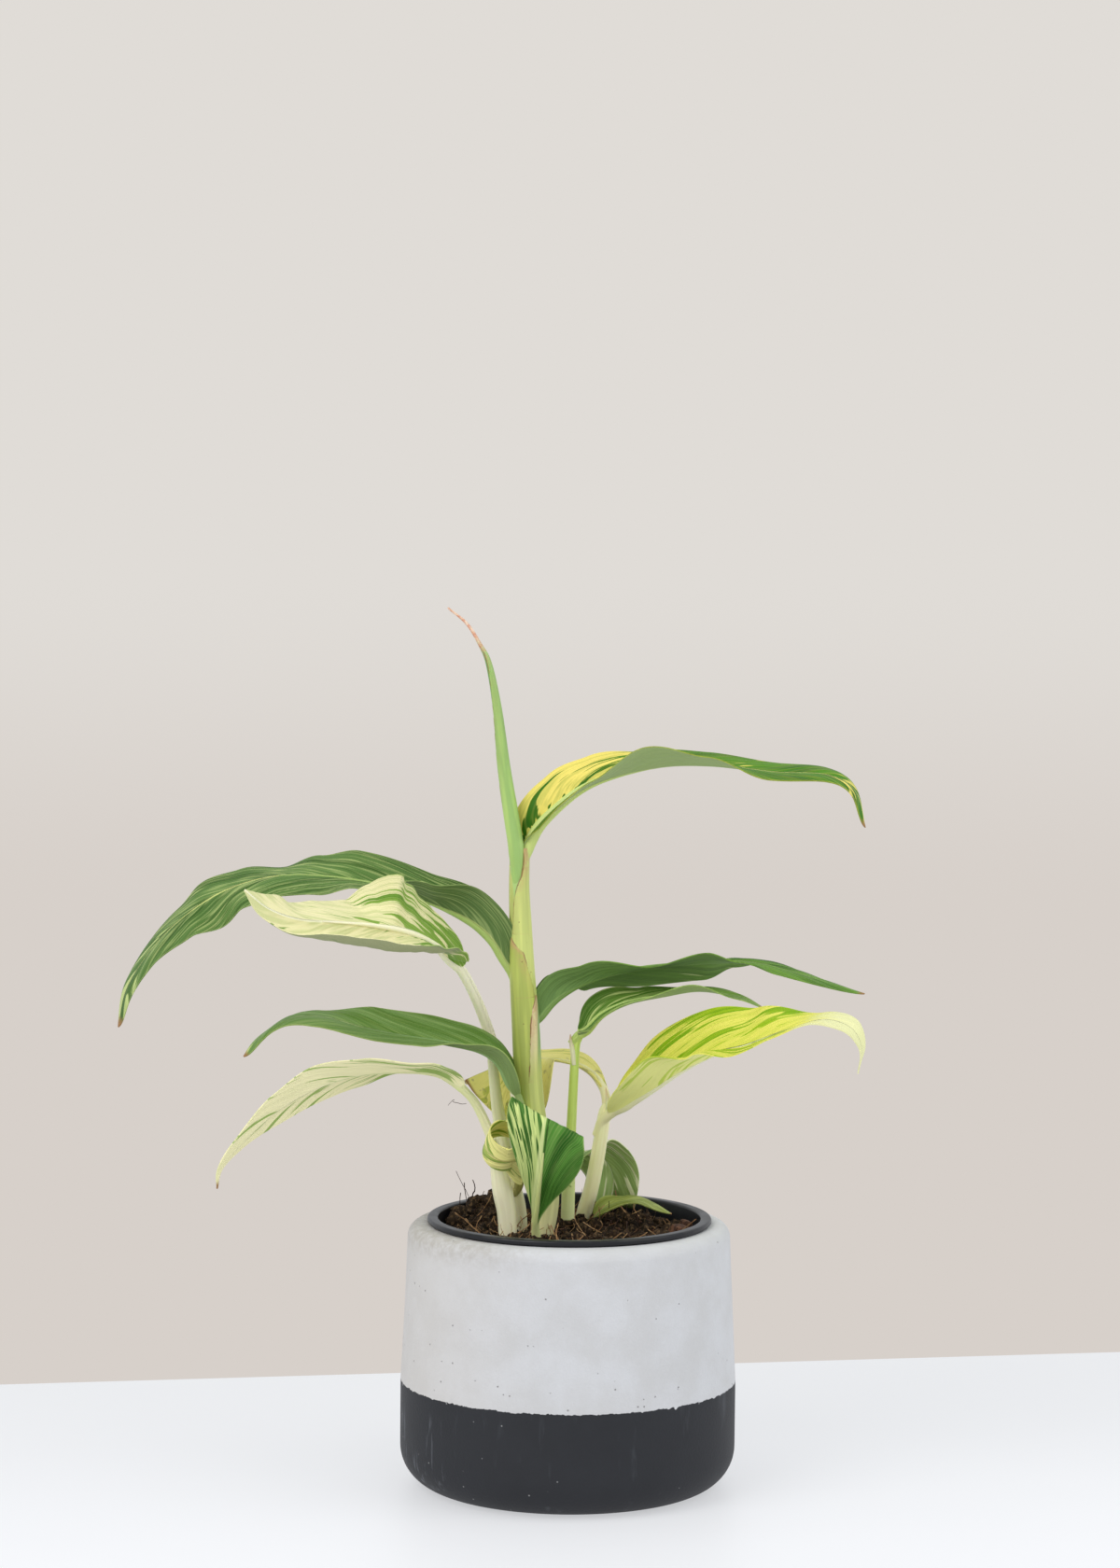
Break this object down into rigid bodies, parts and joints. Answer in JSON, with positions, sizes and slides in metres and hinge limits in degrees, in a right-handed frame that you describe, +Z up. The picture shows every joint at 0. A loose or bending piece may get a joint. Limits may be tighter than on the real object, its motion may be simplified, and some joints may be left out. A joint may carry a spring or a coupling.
{
  "type": "potted shell ginger plant",
  "caption": "Young variegated shell ginger with long arching streaked leaves, in a black nursery pot set inside a round two-tone concrete pot.",
  "frame": {"origin": "centre of the concrete pot's flat underside, where it stands on the table", "axes": "+Z up along the pot's axis; +Y away from the viewer of the picture, so the picture looks along +Y; +X to the picture's right"},
  "size_m": [0.315, 0.1687, 0.3708],
  "materials": {
    "concrete": "matte",
    "black_plastic": "satin",
    "peat": "matte",
    "green_stem": "satin",
    "pale_stem": "satin",
    "green_leaf": "satin",
    "streaked_leaf": "satin",
    "cream_leaf": "satin",
    "yellow_leaf": "satin"
  },
  "bodies": {
    "root": {"concrete_pot": "concrete", "grow_pot": "black_plastic", "soil": "peat", "main_stem": "green_stem", "front_left_stem": "pale_stem", "back_left_stem": "pale_stem", "thin_stem": "green_stem", "right_stem": "pale_stem", "spear_leaf": "green_stem", "upper_right_leaf": "streaked_leaf", "folded_left_leaf": "cream_leaf", "low_left_leaf": "cream_leaf", "bright_leaf": "yellow_leaf", "yellow_back_leaf": "yellow_leaf", "curled_leaf": "yellow_leaf", "front_leaf": "streaked_leaf", "upper_left_leaf": "green_leaf", "middle_right_leaf": "green_leaf", "middle_left_leaf": "green_leaf", "streaked_right_leaf": "green_leaf", "back_leaf": "green_leaf", "soil_leaf": "green_leaf"}
  },
  "joints": []
}
